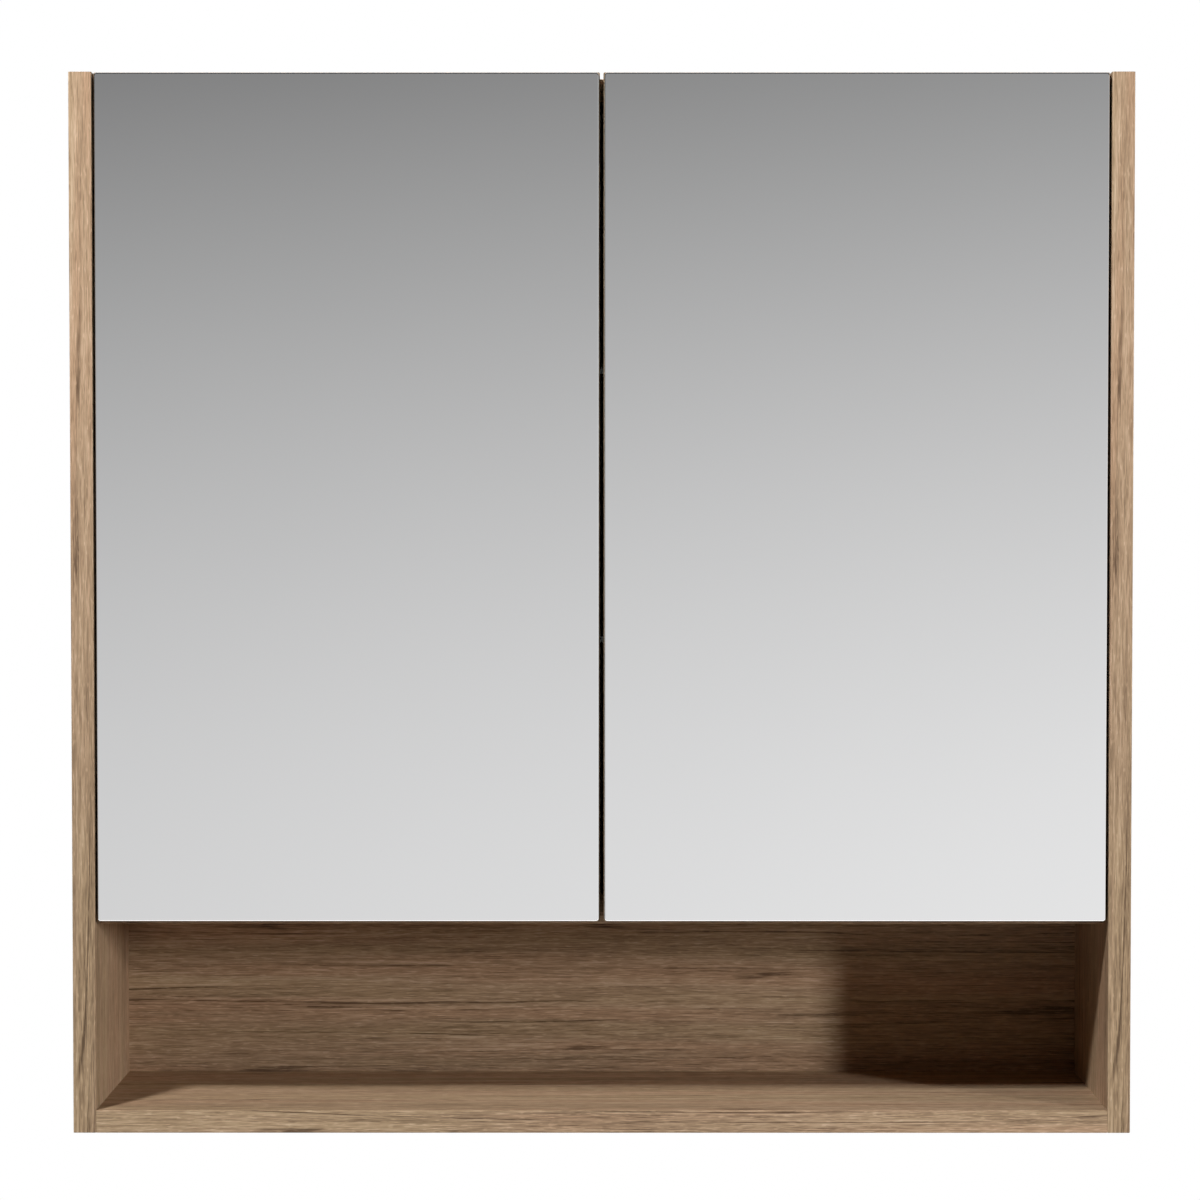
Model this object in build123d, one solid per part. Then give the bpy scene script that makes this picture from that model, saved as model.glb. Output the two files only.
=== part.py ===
from build123d import *
import math
import os

# Shaving cabinet for hanging on a wall, in millimetres.
# X runs to the right, Y towards the wall and Z up. The origin is the centre of the face against the wall.

# Overall size
CABINET_W = 750.0
CABINET_H = 750.0
CABINET_D = 150.0

# Boards of the carcass
BOARD_T = 16.0
MIDDLE_BOARD_T = 22.0
BACK_BOARD_T = 5.0
BACK_REBATE_W = 8.0
BACK_FIT = 0.3
EDGE_BAND_T = 1.0
NICHE_H = 130.0
TOP_SET_DOWN = 2.0
RAIL_H = 80.0
RAIL_DOWEL_SHARES = (0.25, 0.75)

# Doors
DOOR_ABOVE_MIDDLE_EDGE = 4.0
DOOR_SIDE_GAP = 1.2
DOOR_CENTRE_GAP = 2.5
DOOR_BOARD_T = 16.0
DOOR_BACK_GAP = 2.0
GLASS_T = 4.0
GLASS_REVEAL = 0.75
GLASS_CORNER_R = 2.0
GLASS_EDGE_R = 0.8
DOOR_BAND_CORNER_R = 0.9
TAPE_T = 0.5
TAPE_W = 25.0
TAPE_END_INSET = 30.0
TAPES_PER_DOOR = 4
BUMPER_R = 4.0
BUMPER_GAP = 0.2
BUMPER_EDGE_R = 0.8
BUMPER_INSET = 14.0

# Wooden dowels that join the boards
DOWEL_R = 4.0
DOWEL_L = 30.0
DOWEL_SKIN = 4.0
DOWEL_END_GAP = 0.5
DOWEL_INSET = 28.0
DOWEL_CHAMFER = 1.0

# Clearance between a screw, pin or dowel and the hole that it sits in
HOLE_FIT = 0.05

# Countersunk screws of the back boards
BACK_SCREW_R = 1.5
BACK_SCREW_HEAD_R = 3.0
BACK_SCREW_HEAD_H = 2.0
BACK_SCREW_L = 20.0
BACK_SCREWS_PER_ROW = 5
BACK_SCREW_END_INSET = 29.0
BACK_SCREW_SEAM_SHARE = 0.25

# Holes for the wall screws in the rails
WALL_HOLE_R = 3.0
WALL_HOLE_SPACING = 560.0

# Rows of holes for the shelf pins, and the shelves
PIN_R = 2.5
PIN_IN_BOARD = 9.0
PIN_HOLE_DEPTH = 11.0
PIN_HOLE_PITCH = 32.0
PIN_HOLES_PER_ROW = 11
PIN_HOLES_START = 112.0
PIN_ROW_INSET = 37.0
PIN_REAR_ROW_INSET = 30.0
PIN_REST = 7.0
PIN_REST_H = 6.0
PIN_REST_FILLET = 1.5
LOWER_SHELF_HOLE = 2
UPPER_SHELF_HOLE = 8
SHELF_T = 5.0
SHELF_SIDE_GAP = 1.5
SHELF_SET_BACK = 10.0
SHELF_BACK_GAP = 3.0
SHELF_EDGE_R = 0.6

# Hinge cups
HINGE_INSET = 90.0
CUP_R = 17.5
CUP_EDGE = 4.0
CUP_DEPTH = 11.5
CUP_WALL = 1.0
FLANGE_T = 1.0
FLANGE_EAR_W = 14.0
FLANGE_EAR_L = 58.0
FLANGE_EAR_OFFSET = 8.0
FLANGE_CORNER_R = 5.0
CUP_SCREW_SPACING = 45.0
CUP_SCREW_R = 1.75
CUP_SCREW_HEAD_R = 3.2
CUP_SCREW_HEAD_H = 1.6
CUP_SCREW_L = 12.0

# Hinge links
LINK_T = 2.2
LINK_SWING_GAP = 0.7
LINK_FLOOR_GAP = 1.5
LINK_HOOK_L = 5.0
LINK_HOOK_REACH = 5.2
LINK_CORNER_R = 0.9
LINK_TRAVEL = 21.0
LINK_ENGAGE = 2.5
INNER_LINK_W = 6.4
OUTER_LINK_W = 1.8
LINK_SIDE_GAP = 0.5
LINK_PIN_R = 1.0
LINK_EYE_R = 2.2

# Hinge arms
ARM_T = 1.3
ARM_NOSE_GAP = 0.5
ARM_RUN_GAP = 0.4
ARM_CRANK_L = 11.0
ARM_TAIL_L = 26.0
ARM_TAIL_H = 13.5
ARM_LEG_H = 8.0
ARM_FOOT_GAP = 0.5

# Hinge mounting plates
PLATE_T = 2.0
PLATE_WING_W = 15.0
PLATE_WING_L = 52.0
PLATE_CORNER_R = 6.0
PLATE_SIDE_GAP = 0.1
PLATE_SCREW_SPACING = 32.0
PLATE_SCREW_R = 2.5
PLATE_SCREW_HEAD_R = 4.2
PLATE_SCREW_HEAD_H = 2.0
PLATE_SCREW_IN_BOARD = 11.0
ARM_SCREW_R = 2.0
ARM_SCREW_HEAD_R = 3.3
ARM_SCREW_HEAD_H = 1.8
ARM_SCREW_L = 8.0
ARM_SCREW_INSET = 7.0
ARM_SCREW_PITCH = 11.0

# Round edge and cross recess of a screw head, as shares of the head
HEAD_ROUND_SHARE = 1 / 3
RECESS_SPAN_SHARE = 1.1
RECESS_WIDTH_SHARE = 0.26
RECESS_DEPTH_SHARE = 0.6

# Places worked out from the sizes above
HALF_W = CABINET_W / 2
INNER_HALF_W = HALF_W - BOARD_T
TOP_Z = CABINET_H / 2
BOTTOM_Z = -CABINET_H / 2
WALL_Y = 0.0
FRONT_Y = WALL_Y - CABINET_D
BACK_BOARD_Y = WALL_Y - BACK_BOARD_T

NICHE_FLOOR_Z = BOTTOM_Z + BOARD_T
MIDDLE_LOW_Z = NICHE_FLOOR_Z + NICHE_H
MIDDLE_HIGH_Z = MIDDLE_LOW_Z + MIDDLE_BOARD_T
TOP_PANEL_HIGH_Z = TOP_Z - TOP_SET_DOWN
TOP_PANEL_LOW_Z = TOP_PANEL_HIGH_Z - BOARD_T

DOOR_LOW_Z = MIDDLE_LOW_Z + DOOR_ABOVE_MIDDLE_EDGE
DOOR_HIGH_Z = TOP_Z
DOOR_OUTER_X = INNER_HALF_W - DOOR_SIDE_GAP
DOOR_INNER_X = DOOR_CENTRE_GAP / 2
GLASS_BACK_Y = FRONT_Y + GLASS_T
DOOR_BOARD_Y = GLASS_BACK_Y + TAPE_T
DOOR_BACK_Y = DOOR_BOARD_Y + DOOR_BOARD_T
CARCASS_FRONT_Y = DOOR_BACK_Y + DOOR_BACK_GAP

# The door turns about the middle of its glass's outer edge
PIVOT_X = DOOR_OUTER_X - GLASS_REVEAL - GLASS_T / 2
PIVOT_Y = FRONT_Y + GLASS_T / 2

CUP_X = DOOR_OUTER_X - CUP_EDGE - CUP_R
CUP_FLOOR_Y = DOOR_BACK_Y - CUP_DEPTH + CUP_WALL
FLANGE_Y = DOOR_BACK_Y + FLANGE_T
CUP_SWING_R = math.hypot(CUP_X + CUP_R - PIVOT_X, FLANGE_Y - PIVOT_Y)
LINK_OUTER_X = PIVOT_X - CUP_SWING_R - LINK_SWING_GAP
LINK_INNER_X = LINK_OUTER_X - LINK_T
LINK_TIP_Y = CUP_FLOOR_Y + LINK_FLOOR_GAP
ARM_NOSE_Y = CARCASS_FRONT_Y + ARM_NOSE_GAP
LINK_TAIL_Y = ARM_NOSE_Y + LINK_TRAVEL + LINK_ENGAGE
ARM_WEB_X = LINK_INNER_X - ARM_RUN_GAP
ARM_CRANK_Y = LINK_TAIL_Y + LINK_ENGAGE
ARM_TAIL_Y = ARM_CRANK_Y + ARM_CRANK_L
ARM_END_Y = ARM_TAIL_Y + ARM_TAIL_L
ARM_INNER_W = INNER_LINK_W + 2 * OUTER_LINK_W + 4 * LINK_SIDE_GAP
ARM_W = ARM_INNER_W + 2 * ARM_T

SYSTEM_ROW_Y = CARCASS_FRONT_Y + PIN_ROW_INSET
REAR_ROW_Y = BACK_BOARD_Y - PIN_REAR_ROW_INSET
HINGES = {"lower": DOOR_LOW_Z + HINGE_INSET, "upper": DOOR_HIGH_Z - HINGE_INSET}
SHELVES = {"lower": LOWER_SHELF_HOLE, "upper": UPPER_SHELF_HOLE}
RAILS = {
    "lower": (MIDDLE_HIGH_Z, MIDDLE_HIGH_Z + RAIL_H),
    "upper": (TOP_PANEL_LOW_Z - RAIL_H, TOP_PANEL_LOW_Z),
}
SIDES = {"left": -1, "right": 1}


def block(x, y, z):
    """A box between two values on each axis."""
    middle = [(pair[0] + pair[1]) / 2 for pair in (x, y, z)]
    size = [abs(pair[1] - pair[0]) for pair in (x, y, z)]
    return Pos(*middle) * Box(*size)


def rod_x(radius, x, y, z):
    """A round bar along X between the two values of x."""
    return Pos((x[0] + x[1]) / 2, y, z) * Rot(0, 90, 0) * Cylinder(radius, abs(x[1] - x[0]))


def rod_y(radius, x, y, z):
    """A round bar along Y between the two values of y."""
    return Pos(x, (y[0] + y[1]) / 2, z) * Rot(90, 0, 0) * Cylinder(radius, abs(y[1] - y[0]))


def rod_z(radius, x, y, z):
    """A round bar along Z between the two values of z."""
    return Pos(x, y, (z[0] + z[1]) / 2) * Cylinder(radius, abs(z[1] - z[0]))


def spread(count, low, high):
    """Evenly spaced values from low to high."""
    return [low + (high - low) * i / (count - 1) for i in range(count)]


def screw(shank_r, head_r, head_h, length):
    """A screw with a round head above the origin, a cross recess in it, and its shank below."""
    body = Pos(0, 0, head_h / 2) * Cylinder(head_r, head_h)
    body = fillet(body.edges().sort_by(Axis.Z)[-1], head_h * HEAD_ROUND_SHARE)
    body += Pos(0, 0, -length / 2) * Cylinder(shank_r, length)
    depth = head_h * RECESS_DEPTH_SHARE
    span = head_r * RECESS_SPAN_SHARE
    width = head_r * RECESS_WIDTH_SHARE
    recess = Box(span, width, depth) + Box(width, span, depth)
    return body - Pos(0, 0, head_h - depth / 2) * recess


def countersunk(shank_r, head_r, head_h, length):
    """The outline of a countersunk screw whose flat head is at the origin and whose shank runs down."""
    head = Pos(0, 0, -head_h / 2) * Cone(shank_r, head_r, head_h)
    return head + Pos(0, 0, -length / 2) * Cylinder(shank_r, length)


def dowel_places():
    """For each joint of a board with the side panels: the Y and Z of its dowels."""
    rail_y = BACK_BOARD_Y - BOARD_T / 2
    deep = (CARCASS_FRONT_Y + DOWEL_INSET, BACK_BOARD_Y - DOWEL_INSET)
    full = (FRONT_Y + DOWEL_INSET, BACK_BOARD_Y - DOWEL_INSET)
    top_z = (TOP_PANEL_LOW_Z + TOP_PANEL_HIGH_Z) / 2
    middle_z = (MIDDLE_LOW_Z + MIDDLE_HIGH_Z) / 2
    bottom_z = (BOTTOM_Z + NICHE_FLOOR_Z) / 2
    rail_zs = [low + RAIL_H * share for low, _ in RAILS.values() for share in RAIL_DOWEL_SHARES]
    return {
        "top": [(y, top_z) for y in deep],
        "middle": [(y, middle_z) for y in deep],
        "bottom": [(y, bottom_z) for y in full],
        "rail": [(rail_y, z) for z in rail_zs],
    }


def dowel_span(sign, end_gap):
    """The X range of a dowel at one side panel, or of its hole when end_gap is the room at its ends."""
    outer = INNER_HALF_W + BOARD_T - DOWEL_SKIN - DOWEL_END_GAP
    return sign * (outer + end_gap), sign * (outer - DOWEL_L - end_gap)


def dowels(joint):
    """The dowels of one joint, at both side panels."""
    made = []
    for sign in SIDES.values():
        for y, z in dowel_places()[joint]:
            dowel = rod_x(DOWEL_R, dowel_span(sign, 0), y, z)
            made.append(chamfer(dowel.edges().filter_by(GeomType.CIRCLE), DOWEL_CHAMFER))
    return made


def dowel_holes(joint):
    """The holes for the dowels of one joint."""
    return [
        rod_x(DOWEL_R + HOLE_FIT, dowel_span(sign, DOWEL_END_GAP), y, z)
        for sign in SIDES.values()
        for y, z in dowel_places()[joint]
    ]


def back_screw_places():
    """The X and Z of each screw in the two back boards."""
    end = INNER_HALF_W - BACK_SCREW_END_INSET
    seam_z = (MIDDLE_LOW_Z + MIDDLE_HIGH_Z) / 2
    off_seam = MIDDLE_BOARD_T * BACK_SCREW_SEAM_SHARE
    rows = {
        "cabinet": ((TOP_PANEL_LOW_Z + TOP_PANEL_HIGH_Z) / 2, seam_z + off_seam),
        "niche": (seam_z - off_seam, (BOTTOM_Z + NICHE_FLOOR_Z) / 2),
    }
    return {
        name: [(x, z) for z in zs for x in spread(BACK_SCREWS_PER_ROW, -end, end)]
        for name, zs in rows.items()
    }


def back_screws(fit):
    """The screws of the back boards, or with a fit above 0 the holes for them."""
    shape = countersunk(
        BACK_SCREW_R + fit, BACK_SCREW_HEAD_R + fit, BACK_SCREW_HEAD_H, BACK_SCREW_L + fit
    )
    places = [place for row in back_screw_places().values() for place in row]
    return [Pos(x, WALL_Y, z) * Rot(-90, 0, 0) * shape for x, z in places]


def wall_holes():
    """The four holes for the screws into the wall, through the rails and the back board."""
    xs = (-WALL_HOLE_SPACING / 2, WALL_HOLE_SPACING / 2)
    ys = (BACK_BOARD_Y - BOARD_T, WALL_Y)
    return [
        rod_y(WALL_HOLE_R, x, ys, (low + high) / 2) for x in xs for low, high in RAILS.values()
    ]


def pin_hole_z(index):
    """The height of one hole in the rows for the shelf pins."""
    return MIDDLE_HIGH_Z + PIN_HOLES_START + index * PIN_HOLE_PITCH


def side_panel(sign):
    """A side panel with its rebate for the back boards and all the holes in its inner face."""
    panel = block(
        (sign * INNER_HALF_W, sign * HALF_W), (FRONT_Y + EDGE_BAND_T, WALL_Y), (BOTTOM_Z, TOP_Z)
    )
    panel -= block(
        (sign * INNER_HALF_W, sign * (INNER_HALF_W + BACK_REBATE_W)),
        (BACK_BOARD_Y, WALL_Y),
        (BOTTOM_Z, TOP_Z),
    )
    holes = [hole for joint in dowel_places() for hole in dowel_holes(joint)]
    depth = (sign * INNER_HALF_W, sign * (INNER_HALF_W + PIN_HOLE_DEPTH))
    for row_y in (SYSTEM_ROW_Y, REAR_ROW_Y):
        for i in range(PIN_HOLES_PER_ROW):
            holes.append(rod_x(PIN_R + HOLE_FIT, depth, row_y, pin_hole_z(i)))
    screw_depth = (sign * INNER_HALF_W, sign * (INNER_HALF_W + PLATE_SCREW_IN_BOARD + HOLE_FIT))
    for z in HINGES.values():
        for step in (-PLATE_SCREW_SPACING / 2, PLATE_SCREW_SPACING / 2):
            holes.append(rod_x(PLATE_SCREW_R + HOLE_FIT, screw_depth, SYSTEM_ROW_Y, z + step))
    return panel - holes


def cross_panel(front_y, z, joint):
    """A board between the side panels, with the holes for its dowels and the back boards' screws."""
    panel = block((-INNER_HALF_W, INNER_HALF_W), (front_y + EDGE_BAND_T, BACK_BOARD_Y), z)
    return panel - dowel_holes(joint) - back_screws(HOLE_FIT)


def front_band(front_y, z):
    """The edge band on the front of a board between the side panels."""
    return block((-INNER_HALF_W, INNER_HALF_W), (front_y, front_y + EDGE_BAND_T), z)


def back_board(z):
    """A back board that lies in the side panels' rebates."""
    half = INNER_HALF_W + BACK_REBATE_W - BACK_FIT
    board = block((-half, half), (BACK_BOARD_Y, WALL_Y), z)
    return board - back_screws(HOLE_FIT) - wall_holes()


def rail(z):
    """A hanging rail between the side panels, in front of the back board."""
    board = block((-INNER_HALF_W, INNER_HALF_W), (BACK_BOARD_Y - BOARD_T, BACK_BOARD_Y), z)
    return board - dowel_holes("rail") - wall_holes()


def carcass():
    """Boards, bands, dowels and screws of the fixed part."""
    middle_seam_z = (MIDDLE_LOW_Z + MIDDLE_HIGH_Z) / 2
    top_z = (TOP_PANEL_LOW_Z, TOP_PANEL_HIGH_Z)
    middle_z = (MIDDLE_LOW_Z, MIDDLE_HIGH_Z)
    bottom_z = (BOTTOM_Z, NICHE_FLOOR_Z)
    made = {
        "top_panel": cross_panel(CARCASS_FRONT_Y, top_z, "top"),
        "middle_panel": cross_panel(CARCASS_FRONT_Y, middle_z, "middle"),
        "bottom_panel": cross_panel(FRONT_Y, bottom_z, "bottom"),
        "top_edge_band": front_band(CARCASS_FRONT_Y, top_z),
        "middle_edge_band": front_band(CARCASS_FRONT_Y, middle_z),
        "bottom_edge_band": front_band(FRONT_Y, bottom_z),
        "cabinet_back_panel": back_board((middle_seam_z + BACK_FIT / 2, TOP_PANEL_HIGH_Z)),
        "niche_back_panel": back_board((BOTTOM_Z, middle_seam_z - BACK_FIT / 2)),
        "back_panel_screws": back_screws(0),
    }
    for side, sign in SIDES.items():
        x = (sign * INNER_HALF_W, sign * HALF_W)
        made[f"{side}_side_panel"] = side_panel(sign)
        made[f"{side}_side_edge_band"] = block(x, (FRONT_Y, FRONT_Y + EDGE_BAND_T), (BOTTOM_Z, TOP_Z))
    for name, z in RAILS.items():
        made[f"{name}_hanging_rail"] = rail(z)
    for joint in dowel_places():
        made[f"{joint}_dowels"] = dowels(joint)
    return made


def shelf_low_z(name):
    """The height of a shelf's lower face."""
    return pin_hole_z(SHELVES[name]) + PIN_REST_H / 2


def shelf(name):
    """A glass shelf with ground edges."""
    half = INNER_HALF_W - SHELF_SIDE_GAP
    y = (CARCASS_FRONT_Y + SHELF_SET_BACK, BACK_BOARD_Y - SHELF_BACK_GAP)
    low = shelf_low_z(name)
    plate = block((-half, half), y, (low, low + SHELF_T))
    return fillet(plate.edges(), SHELF_EDGE_R)


def shelf_pins(name):
    """The four pins under a shelf: each a round plug with a flat-topped rest."""
    z = pin_hole_z(SHELVES[name])
    made = []
    for sign in SIDES.values():
        for y in (SYSTEM_ROW_Y, REAR_ROW_Y):
            wall = sign * INNER_HALF_W
            plug = rod_x(PIN_R, (wall, wall + sign * PIN_IN_BOARD), y, z)
            rest = block(
                (wall, wall - sign * PIN_REST),
                (y - PIN_REST / 2, y + PIN_REST / 2),
                (z - PIN_REST_H / 2, z + PIN_REST_H / 2),
            )
            low_edges = rest.edges().filter_by(Axis.X).sort_by(Axis.Z)[:2]
            made.append(plug + fillet(low_edges, PIN_REST_FILLET))
    return made


def cup_screw_places(sign):
    """The X and Z of the cup screws in one door."""
    x = CUP_X - FLANGE_EAR_OFFSET
    steps = (-CUP_SCREW_SPACING / 2, CUP_SCREW_SPACING / 2)
    return [(sign * x, z + step) for z in HINGES.values() for step in steps]


def door_board(sign):
    """A door's board with the bores for its hinge cups and their screws."""
    board = block(
        (sign * (DOOR_INNER_X + EDGE_BAND_T), sign * (DOOR_OUTER_X - EDGE_BAND_T)),
        (DOOR_BOARD_Y, DOOR_BACK_Y),
        (DOOR_LOW_Z + EDGE_BAND_T, DOOR_HIGH_Z - EDGE_BAND_T),
    )
    for z in HINGES.values():
        board -= rod_y(
            CUP_R + HOLE_FIT, sign * CUP_X, (DOOR_BACK_Y - CUP_DEPTH - HOLE_FIT, DOOR_BACK_Y), z
        )
    depth = (FLANGE_Y - CUP_SCREW_L - HOLE_FIT, DOOR_BACK_Y)
    for x, z in cup_screw_places(sign):
        board -= rod_y(CUP_SCREW_R + HOLE_FIT, x, depth, z)
    return board


def door_bands(sign):
    """The bands on a door board's four edges: the upright ones full height with round corners."""
    y = (DOOR_BOARD_Y, DOOR_BACK_Y)
    inner = (DOOR_INNER_X, DOOR_INNER_X + EDGE_BAND_T)
    outer = (DOOR_OUTER_X - EDGE_BAND_T, DOOR_OUTER_X)
    low = (DOOR_LOW_Z, DOOR_LOW_Z + EDGE_BAND_T)
    high = (DOOR_HIGH_Z - EDGE_BAND_T, DOOR_HIGH_Z)
    made = []
    for near_x, far_x in ((inner[1], inner[0]), outer):
        band = block((sign * near_x, sign * far_x), y, (DOOR_LOW_Z, DOOR_HIGH_Z))
        corners = [e for e in band.edges().filter_by(Axis.Y) if abs(e.center().X - sign * far_x) < HOLE_FIT]
        made.append(fillet(corners, DOOR_BAND_CORNER_R))
    between = (sign * inner[1], sign * outer[0])
    return made + [block(between, y, pair) for pair in (low, high)]


def door_mirror(sign):
    """A door's mirror glass, its corners rounded and its edges ground."""
    glass = block(
        (sign * (DOOR_INNER_X + GLASS_REVEAL), sign * (DOOR_OUTER_X - GLASS_REVEAL)),
        (FRONT_Y, GLASS_BACK_Y),
        (DOOR_LOW_Z + GLASS_REVEAL, DOOR_HIGH_Z - GLASS_REVEAL),
    )
    glass = fillet(glass.edges().filter_by(Axis.Y), GLASS_CORNER_R)
    rim = glass.faces().sort_by(Axis.Y)[0].edges() + glass.faces().sort_by(Axis.Y)[-1].edges()
    return fillet(rim, GLASS_EDGE_R)


def door_tapes(sign):
    """The upright strips of mounting tape between a mirror and its board."""
    first = DOOR_INNER_X + TAPE_END_INSET + TAPE_W / 2
    last = DOOR_OUTER_X - TAPE_END_INSET - TAPE_W / 2
    z = (DOOR_LOW_Z + TAPE_END_INSET, DOOR_HIGH_Z - TAPE_END_INSET)
    return [
        block((sign * (x - TAPE_W / 2), sign * (x + TAPE_W / 2)), (GLASS_BACK_Y, DOOR_BOARD_Y), z)
        for x in spread(TAPES_PER_DOOR, first, last)
    ]


def door_bumpers(sign):
    """The clear bumpers on a door's back, which meet the front edges of the top and middle panels."""
    thickness = DOOR_BACK_GAP - BUMPER_GAP
    heights = ((TOP_PANEL_LOW_Z + TOP_PANEL_HIGH_Z) / 2, (DOOR_LOW_Z + MIDDLE_HIGH_Z) / 2)
    made = []
    for z in heights:
        y = (DOOR_BACK_Y, DOOR_BACK_Y + thickness)
        disc = rod_y(BUMPER_R, sign * (DOOR_INNER_X + BUMPER_INSET), y, z)
        made.append(fillet(disc.edges().sort_by(Axis.Y)[-1], BUMPER_EDGE_R))
    return made


def hinge_cup(sign, z):
    """A hinge cup with the flange that lies on the door's back."""
    flange = Circle(CUP_R) + Pos(-FLANGE_EAR_OFFSET, 0) * RectangleRounded(
        FLANGE_EAR_W, FLANGE_EAR_L, FLANGE_CORNER_R
    )
    cup = extrude(flange, FLANGE_T) + Pos(0, 0, -CUP_DEPTH / 2) * Cylinder(CUP_R, CUP_DEPTH)
    hollow = CUP_DEPTH - CUP_WALL + FLANGE_T
    cup -= Pos(0, 0, FLANGE_T - hollow / 2) * Cylinder(CUP_R - CUP_WALL, hollow)
    for step in (-CUP_SCREW_SPACING / 2, CUP_SCREW_SPACING / 2):
        cup -= Pos(-FLANGE_EAR_OFFSET, step, FLANGE_T / 2) * Cylinder(CUP_SCREW_R + HOLE_FIT, 2 * FLANGE_T)
    if sign < 0:
        cup = mirror(cup, Plane.YZ)
    return Pos(sign * CUP_X, DOOR_BACK_Y, z) * Rot(-90, 0, 0) * cup


def cup_screws(sign):
    """The screws of a door's hinge cups."""
    shape = screw(CUP_SCREW_R, CUP_SCREW_HEAD_R, CUP_SCREW_HEAD_H, CUP_SCREW_L)
    return [Pos(x, FLANGE_Y, z) * Rot(-90, 0, 0) * shape for x, z in cup_screw_places(sign)]


def door(side, sign):
    """The pieces of one door that swing together."""
    made = {
        f"{side}_door_board": door_board(sign),
        f"{side}_door_edge_bands": door_bands(sign),
        f"{side}_door_mirror": door_mirror(sign),
        f"{side}_door_tapes": door_tapes(sign),
        f"{side}_door_bumpers": door_bumpers(sign),
        f"{side}_door_cup_screws": cup_screws(sign),
    }
    for name, z in HINGES.items():
        made[f"{side}_{name}_hinge_cup"] = hinge_cup(sign, z)
    return made


def plan(sign, points, z, width):
    """A plate of the given width in Z, from its outline in X and Y drawn for the right side."""
    outline = make_face(Polyline([(sign * x, y) for x, y in points], close=True))
    return Pos(0, 0, z) * extrude(outline, width / 2, both=True)


def link_pins_xy():
    """The X and Y of the pin at a link's hook and of the pin at its tail."""
    hook_x = LINK_OUTER_X + LINK_HOOK_REACH - LINK_HOOK_L / 2
    tail_x = LINK_INNER_X + LINK_EYE_R
    return (hook_x, LINK_TIP_Y + LINK_HOOK_L / 2), (tail_x, LINK_TAIL_Y - LINK_EYE_R)


def link_plate(sign, z, width):
    """One link: a strip with a hook in the cup at its front, an eye at its tail and a hole for each pin."""
    hook_x = LINK_OUTER_X + LINK_HOOK_REACH
    hook_y = LINK_TIP_Y + LINK_HOOK_L
    outline = Polyline(
        [
            (hook_x, LINK_TIP_Y),
            (LINK_INNER_X, LINK_TIP_Y),
            (LINK_INNER_X, LINK_TAIL_Y - LINK_EYE_R),
            (LINK_OUTER_X, LINK_TAIL_Y - LINK_EYE_R),
            (LINK_OUTER_X, hook_y),
            (hook_x, hook_y),
        ],
        close=True,
    )
    shape = make_face(outline)
    shape = fillet(shape.vertices().group_by(Axis.Y)[0], LINK_CORNER_R)
    front_pin, tail_pin = link_pins_xy()
    shape += Pos(*tail_pin) * Circle(LINK_EYE_R)
    for pin in (front_pin, tail_pin):
        shape -= Pos(*pin) * Circle(LINK_PIN_R + HOLE_FIT)
    plate = extrude(shape, width / 2, both=True)
    if sign < 0:
        plate = mirror(plate, Plane.YZ)
    return Pos(0, 0, z) * plate


def hinge_links(side, sign):
    """The links and link pins of both hinges of one door, which slide out of the arms as it opens."""
    step = INNER_LINK_W / 2 + LINK_SIDE_GAP + OUTER_LINK_W / 2
    pin_half = step + OUTER_LINK_W / 2
    inner = [link_plate(sign, z, INNER_LINK_W) for z in HINGES.values()]
    outer = [
        link_plate(sign, z + side_step, OUTER_LINK_W)
        for z in HINGES.values()
        for side_step in (-step, step)
    ]
    pins = [
        rod_z(LINK_PIN_R, sign * x, y, (z - pin_half, z + pin_half))
        for z in HINGES.values()
        for x, y in link_pins_xy()
    ]
    return {
        f"{side}_hinge_inner_links": inner,
        f"{side}_hinge_outer_links": outer,
        f"{side}_hinge_link_pins": pins,
    }


def arm_screw_ys():
    """The Y of the fixing screw and of the adjusting screw of an arm."""
    fixing = ARM_END_Y - ARM_SCREW_INSET
    return fixing, fixing - ARM_SCREW_PITCH


def hinge_arm(sign, z):
    """A cranked arm: a channel, open towards the side panel, that covers the links and the plate."""
    web = ARM_WEB_X - ARM_T
    tail_web = INNER_HALF_W - ARM_TAIL_H
    leg = ARM_WEB_X + ARM_LEG_H
    foot = INNER_HALF_W - PLATE_T - ARM_FOOT_GAP
    shell = plan(
        sign,
        [
            (leg, ARM_NOSE_Y),
            (web, ARM_NOSE_Y),
            (web, ARM_CRANK_Y),
            (tail_web, ARM_TAIL_Y),
            (tail_web, ARM_END_Y),
            (foot, ARM_END_Y),
            (foot, ARM_TAIL_Y),
            (leg, ARM_CRANK_Y),
        ],
        z,
        ARM_W,
    )
    past = ARM_T
    pocket = plan(
        sign,
        [
            (leg + past, ARM_NOSE_Y - past),
            (ARM_WEB_X, ARM_NOSE_Y - past),
            (ARM_WEB_X, ARM_CRANK_Y - ARM_T / 2),
            (tail_web + ARM_T, ARM_TAIL_Y - ARM_T / 2),
            (tail_web + ARM_T, ARM_END_Y + past),
            (foot + past, ARM_END_Y + past),
            (foot + past, ARM_TAIL_Y),
            (leg + past, ARM_CRANK_Y),
        ],
        z,
        ARM_INNER_W,
    )
    along = shell.edges().filter_by(Axis.Y)
    outer = [edge for edge in along if abs(edge.center().X) < tail_web + HOLE_FIT]
    arm = fillet(outer, ARM_T / 2) - pocket
    for y in arm_screw_ys():
        arm -= rod_x(
            ARM_SCREW_R + HOLE_FIT, (sign * (tail_web - past), sign * (tail_web + 2 * past)), y, z
        )
    return arm


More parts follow.
